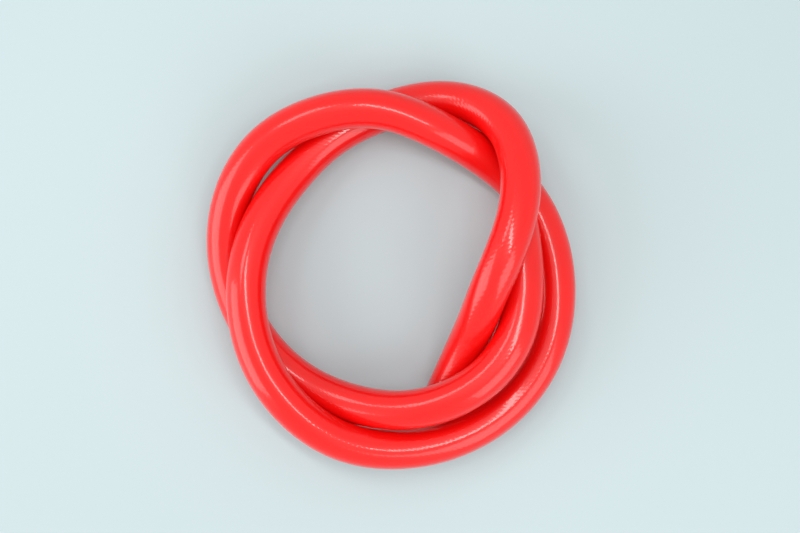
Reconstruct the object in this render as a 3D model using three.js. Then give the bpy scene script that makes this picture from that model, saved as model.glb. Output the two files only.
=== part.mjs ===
// A length of red silicone vacuum hose, lying in the loose coil that it springs into.
// Millimetres, Z up, and the coil lies on the floor at Z = 0. X is the photograph's right, Y its top.

import * as THREE from 'three';
import { NURBSCurve } from 'three/addons/curves/NURBSCurve.js';

// The hose
const hoseLength = 914;
const boreDiameter = 9.5;
const wallThickness = 3.2;

// Air between two strands whose places are one apart
const strandGap = 0.4;

// Flat sides round the hose, and slices along each 100 mm of it
const roundSides = 16;
const slicesPer100 = 15;

// The coil starts at firstAngle, measured from the X axis, and each place is turnStep further on.
// A place says how far the strand lies outside the coil's own radius, in strand widths, and how
// high off the floor, in layers. The last place comes lastTurnStep after the one before.
const firstAngle = -67;
const turnStep = 20;
const lastTurnStep = 12;

const places = [
  // The first end, on the floor, and the strand that climbs away from it over two others
  [-0.55, 0], [-1.26, 0.35], [-1.5, 1.14], [-1.51, 1.73], [-1.05, 2], [0, 1.8], [1.05, 0.9],
  // Down to the floor at the top of the coil, under the strand that crosses there
  [0.95, 0.13], [0.35, 0.01], [0.02, 0.12], [-0.3, 0.29], [-0.35, 0.59],
  // The left side, over the outer strand, and out to the floor along the bottom and the right
  [-0.3, 0.87], [-0.2, 1.05], [0, 1.1], [0.2, 1.15], [0.45, 0.85], [0.5, 0.56],
  [0.55, 0.36], [0.6, 0.14], [0.55, 0.1], [0.4, 0.1], [0.3, 0], [0.2, 0],
  // Up over the first strand at the top, and down again on the left, under the second
  [-0.05, 0.35], [-0.05, 1], [0.35, 1.15], [0.55, 1], [0.79, 0.76], [0.68, 0.36],
  [0.4, 0.03], [0.05, 0.05], [-0.2, 0.1],
  // Along the bottom inside the others, over the first end, and up the right side to the second end
  [-0.4, 0.22], [-0.55, 0.5], [-0.54, 0.91], [-0.51, 1.17], [-0.45, 1.22],
  [-0.45, 1.2], [-0.55, 1.08], [-0.55, 1], [-0.45, 0.85],
];

const outerDiameter = boreDiameter + 2 * wallThickness;
const strandPitch = outerDiameter + strandGap;

// A smooth curve drawn along the places, for one radius of the coil
function routeFor(coilRadius) {
  const points = places.map(([across, layer], index) => {
    const last = index === places.length - 1;
    const degrees = firstAngle + turnStep * (last ? index - 1 : index) + (last ? lastTurnStep : 0);
    const angle = THREE.MathUtils.degToRad(degrees);
    const radius = coilRadius + across * strandPitch;
    const height = outerDiameter / 2 + layer * strandPitch;
    return new THREE.Vector3(radius * Math.cos(angle), radius * Math.sin(angle), height);
  });
  const degree = 3;
  const spans = points.length - degree;
  const knots = [];
  for (let index = 0; index < points.length + degree + 1; index += 1) {
    knots.push(Math.min(Math.max((index - degree) / spans, 0), 1));
  }
  const curve = new NURBSCurve(degree, knots, points);
  curve.arcLengthDivisions = 1600;
  return curve;
}

// The coil is as wide as the hose's length makes it
function routeOfLength(length) {
  let coilRadius = 4 * outerDiameter;
  let route = routeFor(coilRadius);
  for (let round = 0; round < 8; round += 1) {
    coilRadius *= length / route.getLength();
    route = routeFor(coilRadius);
  }
  return route;
}

// The wall's ring, as seen at a square-cut end
function wallSection() {
  const section = new THREE.Shape();
  section.absarc(0, 0, outerDiameter / 2, 0, 2 * Math.PI, false);
  const bore = new THREE.Path();
  bore.absarc(0, 0, boreDiameter / 2, 0, 2 * Math.PI, true);
  section.holes.push(bore);
  return section;
}

function buildHose(material) {
  const geometry = new THREE.ExtrudeGeometry(wallSection(), {
    extrudePath: routeOfLength(hoseLength),
    steps: Math.round(slicesPer100 * hoseLength / 100),
    curveSegments: roundSides / 2,
  });
  // The middle of the coil's box goes over the origin, and its lowest strand on the floor
  geometry.computeBoundingBox();
  const box = geometry.boundingBox;
  geometry.translate(-(box.min.x + box.max.x) / 2, -(box.min.y + box.max.y) / 2, -box.min.z);
  const hose = new THREE.Mesh(geometry, material);
  hose.name = 'hose';
  return hose;
}

const redSilicone = new THREE.MeshStandardMaterial({
  name: 'red_silicone',
  color: 0xd9201c,
  roughness: 0.28,
  metalness: 0,
});

const part = new THREE.Group();
part.name = 'vacuum_hose';
part.add(buildHose(redSilicone));

export default part;
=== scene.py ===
# A red silicone vacuum hose lying in its own loose coil on a pale floor, seen from straight above.
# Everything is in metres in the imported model's frame: the floor is Z = 0, X is the photograph's right.

import math

import bpy
from mathutils import Matrix, Vector


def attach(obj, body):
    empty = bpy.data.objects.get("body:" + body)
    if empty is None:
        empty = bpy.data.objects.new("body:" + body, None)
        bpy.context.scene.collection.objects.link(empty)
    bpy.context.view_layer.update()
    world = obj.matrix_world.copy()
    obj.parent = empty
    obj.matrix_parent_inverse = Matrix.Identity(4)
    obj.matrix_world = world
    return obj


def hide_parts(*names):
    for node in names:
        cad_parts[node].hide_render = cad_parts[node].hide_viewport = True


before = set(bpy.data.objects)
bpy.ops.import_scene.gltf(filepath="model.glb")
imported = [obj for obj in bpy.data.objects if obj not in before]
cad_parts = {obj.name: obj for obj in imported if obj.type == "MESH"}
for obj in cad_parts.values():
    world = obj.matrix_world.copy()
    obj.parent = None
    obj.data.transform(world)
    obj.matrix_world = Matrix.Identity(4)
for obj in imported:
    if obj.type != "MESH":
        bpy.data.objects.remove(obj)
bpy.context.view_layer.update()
print("frame loaded")

# The hose as the solid has it: its real sizes, and the places of its strands in the coil.
# Each place is so many strand widths outside the coil's radius and so many layers off the floor.
# After them come the rounding of each cut's edge, how finely the skin and the route are divided,
# how many rounds find the coil's radius, the bend in degrees from which an edge is crisp, and the
# distance over which the skin's seams join.
hose = {
    "length": 0.914,
    "bore": 0.0095,
    "wall": 0.0032,
    "strandGap": 0.0004,
    "firstAngle": -67,
    "turnStep": 20,
    "lastTurnStep": 12,
    "places": [
        (-0.55, 0), (-1.26, 0.35), (-1.5, 1.14), (-1.51, 1.73), (-1.05, 2), (0, 1.8), (1.05, 0.9),
        (0.95, 0.13), (0.35, 0.01), (0.02, 0.12), (-0.3, 0.29), (-0.35, 0.59),
        (-0.3, 0.87), (-0.2, 1.05), (0, 1.1), (0.2, 1.15), (0.45, 0.85), (0.5, 0.56),
        (0.55, 0.36), (0.6, 0.14), (0.55, 0.1), (0.4, 0.1), (0.3, 0), (0.2, 0),
        (-0.05, 0.35), (-0.05, 1), (0.35, 1.15), (0.55, 1), (0.79, 0.76), (0.68, 0.36),
        (0.4, 0.03), (0.05, 0.05), (-0.2, 0.1),
        (-0.4, 0.22), (-0.55, 0.5), (-0.54, 0.91), (-0.51, 1.17), (-0.45, 1.22),
        (-0.45, 1.2), (-0.55, 1.08), (-0.55, 1), (-0.45, 0.85),
    ],
    "edgeRound": 0.00025,
    "sidesAround": 64,
    "slices": 560,
    "boreSlices": 280,
    "curveSteps": 24,
    "lengthRounds": 8,
    "creaseAngle": 30,
    "seamGap": 0.000002,
}
outerDiameter = hose["bore"] + 2 * hose["wall"]
strandPitch = outerDiameter + hose["strandGap"]


def linearColour(hexCode):
    parts = [int(hexCode[start:start + 2], 16) / 255 for start in (1, 3, 5)]
    linear = [part / 12.92 if part <= 0.04045 else ((part + 0.055) / 1.055) ** 2.4 for part in parts]
    return (*linear, 1.0)


def addNode(tree, kind, inputs=(), **settings):
    # One node: its settings by name, and its inputs as (socket, value or the output that feeds it)
    node = tree.nodes.new(kind)
    for name, value in settings.items():
        setattr(node, name, value)
    for socket, value in inputs:
        if isinstance(value, bpy.types.NodeSocket):
            tree.links.new(value, node.inputs[socket])
        else:
            node.inputs[socket].default_value = value
    return node


def mathIn(tree):
    # A short way to add a math node to this tree and to get its result
    def calc(operation, first, second=0.0, third=0.0):
        inputs = [(0, first), (1, second), (2, third)]
        return addNode(tree, "ShaderNodeMath", inputs, operation=operation).outputs[0]

    return calc


# The route: one smooth curve along the places, wound as wide as the hose's length makes it
def layRoute(spline, coilRadius):
    for index, (across, layer) in enumerate(hose["places"]):
        last = index == len(hose["places"]) - 1
        degrees = hose["firstAngle"] + hose["turnStep"] * (index - last) + hose["lastTurnStep"] * last
        radius = coilRadius + across * strandPitch
        height = outerDiameter / 2 + layer * strandPitch
        angle = math.radians(degrees)
        spline.points[index].co = (radius * math.cos(angle), radius * math.sin(angle), height, 1)


def makeRoute():
    curve = bpy.data.curves.new("vacuum_hose_route", "CURVE")
    curve.dimensions = "3D"
    curve.twist_mode = "MINIMUM"
    spline = curve.splines.new("NURBS")
    spline.points.add(len(hose["places"]) - 1)
    spline.order_u = 4
    spline.use_endpoint_u = True
    spline.resolution_u = hose["curveSteps"]
    # A first guess, which each round brings closer to the radius that takes the hose's length
    coilRadius = 4 * outerDiameter
    for _ in range(hose["lengthRounds"]):
        layRoute(spline, coilRadius)
        coilRadius *= hose["length"] / spline.calc_length(resolution=hose["curveSteps"])
    layRoute(spline, coilRadius)
    print("route laid, coil radius", round(coilRadius * 1000, 2), "mm")
    route = bpy.data.objects.new("vacuum_hose_route", curve)
    bpy.context.scene.collection.objects.link(route)
    return route


# The hose's wall, as one closed skin: down the outside, over the far cut, back along the bore
# and over the near cut. Each row of a grid is one ring round the route.
def makeWallTree():
    tree = bpy.data.node_groups.new("wind_hose", "GeometryNodeTree")
    wanted = [
        ("Outer Radius", "NodeSocketFloat", outerDiameter / 2),
        ("Bore Radius", "NodeSocketFloat", hose["bore"] / 2),
        ("Edge Round", "NodeSocketFloat", hose["edgeRound"]),
        ("Sides", "NodeSocketInt", hose["sidesAround"]),
        ("Slices", "NodeSocketInt", hose["slices"]),
        ("Bore Slices", "NodeSocketInt", hose["boreSlices"]),
    ]
    tree.interface.new_socket("Geometry", in_out="INPUT", socket_type="NodeSocketGeometry")
    for name, kind, value in wanted:
        tree.interface.new_socket(name, in_out="INPUT", socket_type=kind).default_value = value
    tree.interface.new_socket("Material", in_out="INPUT", socket_type="NodeSocketMaterial")
    tree.interface.new_socket("Geometry", in_out="OUTPUT", socket_type="NodeSocketGeometry")
    given = addNode(tree, "NodeGroupInput").outputs
    calc = mathIn(tree)

    def choose(test, yes, no):
        # yes where test is 1, no where it is 0
        return calc("MULTIPLY_ADD", test, calc("SUBTRACT", yes, no), no)

    # Rows: one at the near cut's rounded edge, slices along the skin, one at the far edge,
    # then the bore's slices, and the first row again to close the skin. Each test of a row's number
    # falls between two whole ones.
    slices, boreSlices = given["Slices"], given["Bore Slices"]
    skinRows = calc("ADD", slices, 3)
    rows = calc("ADD", calc("ADD", skinRows, boreSlices), 2)
    sides = calc("ADD", given["Sides"], 1)
    grid = addNode(tree, "GeometryNodeMeshGrid", [
        ("Size X", 1.0), ("Size Y", 1.0), ("Vertices X", rows), ("Vertices Y", sides)])
    index = addNode(tree, "GeometryNodeInputIndex").outputs[0]
    row = calc("FLOOR", calc("DIVIDE", calc("ADD", index, 0.5), sides))
    column = calc("SUBTRACT", index, calc("MULTIPLY", row, sides))
    turn = calc("MULTIPLY", calc("DIVIDE", column, given["Sides"]), 2 * math.pi)
    closing = calc("GREATER_THAN", row, calc("SUBTRACT", rows, 1.5))
    row = choose(closing, 0.0, row)
    onBore = calc("GREATER_THAN", row, calc("SUBTRACT", skinRows, 0.5))

    # How far along the hose each row lies, in metres, with the rounded edges set in
    routeLength = addNode(tree, "GeometryNodeCurveLength", [("Curve", given["Geometry"])]).outputs[0]
    edge = given["Edge Round"]
    straight = calc("SUBTRACT", routeLength, calc("MULTIPLY", edge, 2.0))
    share = calc("DIVIDE", calc("SUBTRACT", row, 1.0), slices)
    skinPlace = calc("MULTIPLY_ADD", share, straight, edge)
    skinPlace = calc("MINIMUM", calc("MAXIMUM", skinPlace, 0.0), routeLength)
    boreShare = calc("DIVIDE", calc("SUBTRACT", row, skinRows), boreSlices)
    borePlace = calc("MULTIPLY", calc("SUBTRACT", 1.0, boreShare), routeLength)
    place = choose(onBore, borePlace, skinPlace)
    atNearEdge = calc("LESS_THAN", row, 0.5)
    atFarEdge = calc("COMPARE", row, calc("ADD", slices, 2.0), 0.4)
    atEdge = calc("ADD", atNearEdge, atFarEdge)
    skinRadius = calc("SUBTRACT", given["Outer Radius"], calc("MULTIPLY", atEdge, edge))
    radius = choose(onBore, given["Bore Radius"], skinRadius)

    sample = addNode(tree, "GeometryNodeSampleCurve", [
        ("Curves", given["Geometry"]), ("Length", place)], mode="LENGTH")
    side = addNode(tree, "ShaderNodeVectorMath", [
        (0, sample.outputs["Tangent"]), (1, sample.outputs["Normal"])], operation="CROSS_PRODUCT")
    outward = calc("COSINE", turn)
    sideways = calc("SINE", turn)
    alongNormal = addNode(tree, "ShaderNodeVectorMath", [
        (0, sample.outputs["Normal"]), ("Scale", calc("MULTIPLY", outward, radius))], operation="SCALE")
    alongSide = addNode(tree, "ShaderNodeVectorMath", [
        (0, side.outputs[0]), ("Scale", calc("MULTIPLY", sideways, radius))], operation="SCALE")
    ring = addNode(tree, "ShaderNodeVectorMath", [
        (0, alongNormal.outputs[0]), (1, alongSide.outputs[0])], operation="ADD")
    onSkin = addNode(tree, "ShaderNodeVectorMath", [
        (0, sample.outputs["Position"]), (1, ring.outputs[0])], operation="ADD")

    # The skin keeps where each point is on the strand, for the material's pattern
    strand = addNode(tree, "ShaderNodeCombineXYZ", [("X", outward), ("Y", sideways), ("Z", place)])
    kept = addNode(tree, "GeometryNodeStoreNamedAttribute", [
        ("Geometry", grid.outputs["Mesh"]), ("Name", "strand"), ("Value", strand.outputs[0])],
        data_type="FLOAT_VECTOR", domain="POINT")
    placed = addNode(tree, "GeometryNodeSetPosition", [
        ("Geometry", kept.outputs[0]), ("Position", onSkin.outputs[0])])
    joined = addNode(tree, "GeometryNodeMergeByDistance", [
        ("Geometry", placed.outputs[0]), ("Distance", hose["seamGap"])])
    turned = addNode(tree, "GeometryNodeFlipFaces", [("Mesh", joined.outputs[0])])
    bend = addNode(tree, "GeometryNodeInputMeshEdgeAngle").outputs["Unsigned Angle"]
    sharp = calc("GREATER_THAN", bend, math.radians(hose["creaseAngle"]))
    crisp = addNode(tree, "GeometryNodeStoreNamedAttribute", [
        ("Geometry", turned.outputs[0]), ("Name", "sharp_edge"), ("Value", sharp)],
        data_type="BOOLEAN", domain="EDGE")
    smooth = addNode(tree, "GeometryNodeSetShadeSmooth", [("Geometry", crisp.outputs[0])])
    real = addNode(tree, "GeometryNodeRealizeInstances", [("Geometry", smooth.outputs[0])])
    dressed = addNode(tree, "GeometryNodeSetMaterial", [
        ("Geometry", real.outputs[0]), ("Material", given["Material"])])
    addNode(tree, "NodeGroupOutput", [("Geometry", dressed.outputs[0])])
    return tree


# Glossy silicone rubber: dense red pigment gives a deep colour under a soft sheen, and light goes
# a millimetre into it. The smooth moulded skin over it draws the lamps as thin clear lines. The
# textile wound inside the wall shows through as faint slanted ribs. They show unevenly everywhere,
# and most near the first end, up to where they fade, in metres along the hose.
silicone = {
    "red": "#e40605",
    "deepRed": "#d80504",
    "patchesPerMetre": 55,
    "sheenIor": 1.43,
    "sheenLevel": 0.3,
    "sheenRoughness": 0.35,
    "skinIor": 1.45,
    "skinGloss": 0.7,
    "skinRoughness": 0.1,
    "lightInside": 0.15,
    "lightDepth": 0.0012,
    "lightDepthShares": (1.0, 0.12, 0.08),
    "ribPitch": 0.002,
    "ribsAround": 20,
    "ribDepth": 0.0000085,
    "ribsFadeFrom": 0.14,
    "ribsFadeTo": 0.24,
    "ribsNearEnd": 1.0,
    "ribsElsewhere": 0.45,
    "ribsLeast": 0.1,
    "ribsSpread": 2.0,
}


def makeSilicone():
    material = bpy.data.materials.new("red_silicone_rubber")
    material.use_nodes = True
    tree = material.node_tree
    tree.nodes.clear()
    calc = mathIn(tree)
    strand = addNode(tree, "ShaderNodeAttribute", attribute_name="strand")
    parts = addNode(tree, "ShaderNodeSeparateXYZ", [(0, strand.outputs["Vector"])])
    around = calc("ARCTAN2", parts.outputs["Y"], parts.outputs["X"])
    along = calc("MULTIPLY", parts.outputs["Z"], 2 * math.pi / silicone["ribPitch"])
    ribs = calc("COSINE", calc("MULTIPLY_ADD", around, -silicone["ribsAround"], along))
    stretch = addNode(tree, "ShaderNodeMapRange", [
        ("Value", parts.outputs["Z"]),
        ("From Min", silicone["ribsFadeFrom"]), ("From Max", silicone["ribsFadeTo"]),
        ("To Min", silicone["ribsNearEnd"]), ("To Max", silicone["ribsElsewhere"])],
        interpolation_type="SMOOTHSTEP")
    body = addNode(tree, "ShaderNodeTexCoord").outputs["Object"]
    patch = addNode(tree, "ShaderNodeTexNoise", [
        ("Vector", body), ("Scale", silicone["patchesPerMetre"]), ("Detail", 2.0),
        ("Roughness", 0.5)]).outputs["Fac"]
    uneven = calc("MULTIPLY_ADD", patch, silicone["ribsSpread"], silicone["ribsLeast"])
    strength = calc("MULTIPLY", uneven, stretch.outputs[0])
    height = calc("MULTIPLY", calc("MULTIPLY", ribs, strength), silicone["ribDepth"])
    bump = addNode(tree, "ShaderNodeBump", [
        ("Strength", 1.0), ("Distance", 1.0), ("Height", height)]).outputs["Normal"]

    colour = addNode(tree, "ShaderNodeMix", [
        ("Factor", patch), ("A", linearColour(silicone["red"])),
        ("B", linearColour(silicone["deepRed"]))], data_type="RGBA").outputs["Result"]
    shader = addNode(tree, "ShaderNodeBsdfPrincipled", [
        ("Base Color", colour), ("Normal", bump), ("IOR", silicone["sheenIor"]),
        ("Specular IOR Level", silicone["sheenLevel"]), ("Roughness", silicone["sheenRoughness"]),
        ("Coat IOR", silicone["skinIor"]), ("Coat Weight", silicone["skinGloss"]),
        ("Coat Roughness", silicone["skinRoughness"]), ("Coat Normal", bump),
        ("Subsurface Weight", silicone["lightInside"]),
        ("Subsurface Scale", silicone["lightDepth"]),
        ("Subsurface Radius", silicone["lightDepthShares"])])
    addNode(tree, "ShaderNodeOutputMaterial", [("Surface", shader.outputs["BSDF"])])
    return material


def makeHose(route, material):
    tree = makeWallTree()
    modifier = route.modifiers.new("wind_hose", "NODES")
    modifier.node_group = tree
    for item in tree.interface.items_tree:
        if item.item_type == "SOCKET" and item.in_out == "INPUT" and item.name == "Material":
            modifier[item.identifier] = material
    shape = bpy.context.evaluated_depsgraph_get()
    mesh = bpy.data.meshes.new_from_object(route.evaluated_get(shape), depsgraph=shape)
    route.modifiers.remove(modifier)
    mesh.name = "vacuum_hose"
    piece = bpy.data.objects.new("vacuum_hose", mesh)
    bpy.context.scene.collection.objects.link(piece)
    return piece


def corners(points):
    lows = [min(point[axis] for point in points) for axis in range(3)]
    highs = [max(point[axis] for point in points) for axis in range(3)]
    return Vector(lows), Vector(highs)


route = makeRoute()
shape = bpy.context.evaluated_depsgraph_get()
centreline = [vertex.co.copy() for vertex in route.evaluated_get(shape).to_mesh().vertices]
siliconeRubber = makeSilicone()
piece = makeHose(route, siliconeRubber)
bpy.data.objects.remove(route)

# The coil goes where the solid has it, with the middle of its box over the origin
woundLow, woundHigh = corners([vertex.co for vertex in piece.data.vertices])
coilShift = Vector((-(woundLow.x + woundHigh.x) / 2, -(woundLow.y + woundHigh.y) / 2, -woundLow.z))
piece.data.transform(Matrix.Translation(coilShift))
centreline = [point + coilShift for point in centreline]
print("hose wound,", len(piece.data.polygons), "faces")

# The camera hangs over the coil and looks straight down. The strands that lie higher look wider,
# and that sets its height.
camera = {
    "height": 33.3 * outerDiameter,
    "lens": 56.7,
    "filmWidth": 36,
    "rightOfCoil": 0.234 * outerDiameter,
    "aboveCoil": 0.273 * outerDiameter,
}
cameraData = bpy.data.cameras.new("camera")
cameraData.lens = camera["lens"]
cameraData.sensor_width = camera["filmWidth"]
cameraObject = bpy.data.objects.new("camera", cameraData)
cameraObject.location = (
    coilShift.x + camera["rightOfCoil"], coilShift.y + camera["aboveCoil"], camera["height"])
bpy.context.scene.collection.objects.link(cameraObject)
bpy.context.scene.camera = cameraObject

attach(piece, "root")
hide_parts("hose")
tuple(centreline[0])

# The pale floor, as plain as a sheet of studio paper
floorLook = {"colour": "#adbdc1", "size": 12.0, "roughness": 0.6}


def makeFloor():
    material = bpy.data.materials.new("pale_paper_floor")
    material.use_nodes = True
    shader = material.node_tree.nodes["Principled BSDF"]
    shader.inputs["Base Color"].default_value = linearColour(floorLook["colour"])
    shader.inputs["Roughness"].default_value = floorLook["roughness"]
    half = floorLook["size"] / 2
    mesh = bpy.data.meshes.new("floor")
    square = [(-half, -half, 0), (half, -half, 0), (half, half, 0), (-half, half, 0)]
    mesh.from_pydata(square, [], [(0, 1, 2, 3)])
    mesh.materials.append(material)
    floor = bpy.data.objects.new("floor", mesh)
    bpy.context.scene.collection.objects.link(floor)


makeFloor()

# Studio light: a strip and a small lamp over the coil draw the thin bright lines along the crests,
# and large windows at the left and right the broad pale bands on the strands' sides.
# Each lamp has its place, its width and height in metres, and its power in watts, and faces the coil.
lamps = {
    "stripLamp": {"at": (0.06, 0.07, 0.60), "size": (0.44, 0.06), "power": 1.15},
    "upperLeftLamp": {"at": (-0.32, 0.27, 0.60), "size": (0.20, 0.16), "power": 0.5},
    "leftWindow": {"at": (-1.00, -0.21, 0.48), "size": (0.90, 0.90), "power": 8.0},
    "rightWindow": {"at": (0.58, -0.53, 0.62), "size": (0.55, 0.70), "power": 3.2},
}
roomLight = {"colour": "#faf9f5", "strength": 0.86}


def makeLamps():
    for name, lamp in lamps.items():
        data = bpy.data.lights.new(name, "AREA")
        data.shape = "RECTANGLE"
        data.size, data.size_y = lamp["size"]
        data.energy = lamp["power"]
        lampObject = bpy.data.objects.new(name, data)
        lampObject.location = lamp["at"]
        lampObject.rotation_mode = "QUATERNION"
        lampObject.rotation_quaternion = (-Vector(lamp["at"])).to_track_quat("-Z", "Y")
        bpy.context.scene.collection.objects.link(lampObject)


makeLamps()
world = bpy.data.worlds.new("studio")
world.use_nodes = True
world.node_tree.nodes["Background"].inputs["Color"].default_value = linearColour(roomLight["colour"])
world.node_tree.nodes["Background"].inputs["Strength"].default_value = roomLight["strength"]
bpy.context.scene.world = world
bpy.context.scene.view_settings.view_transform = "Standard"
print("stage lit")
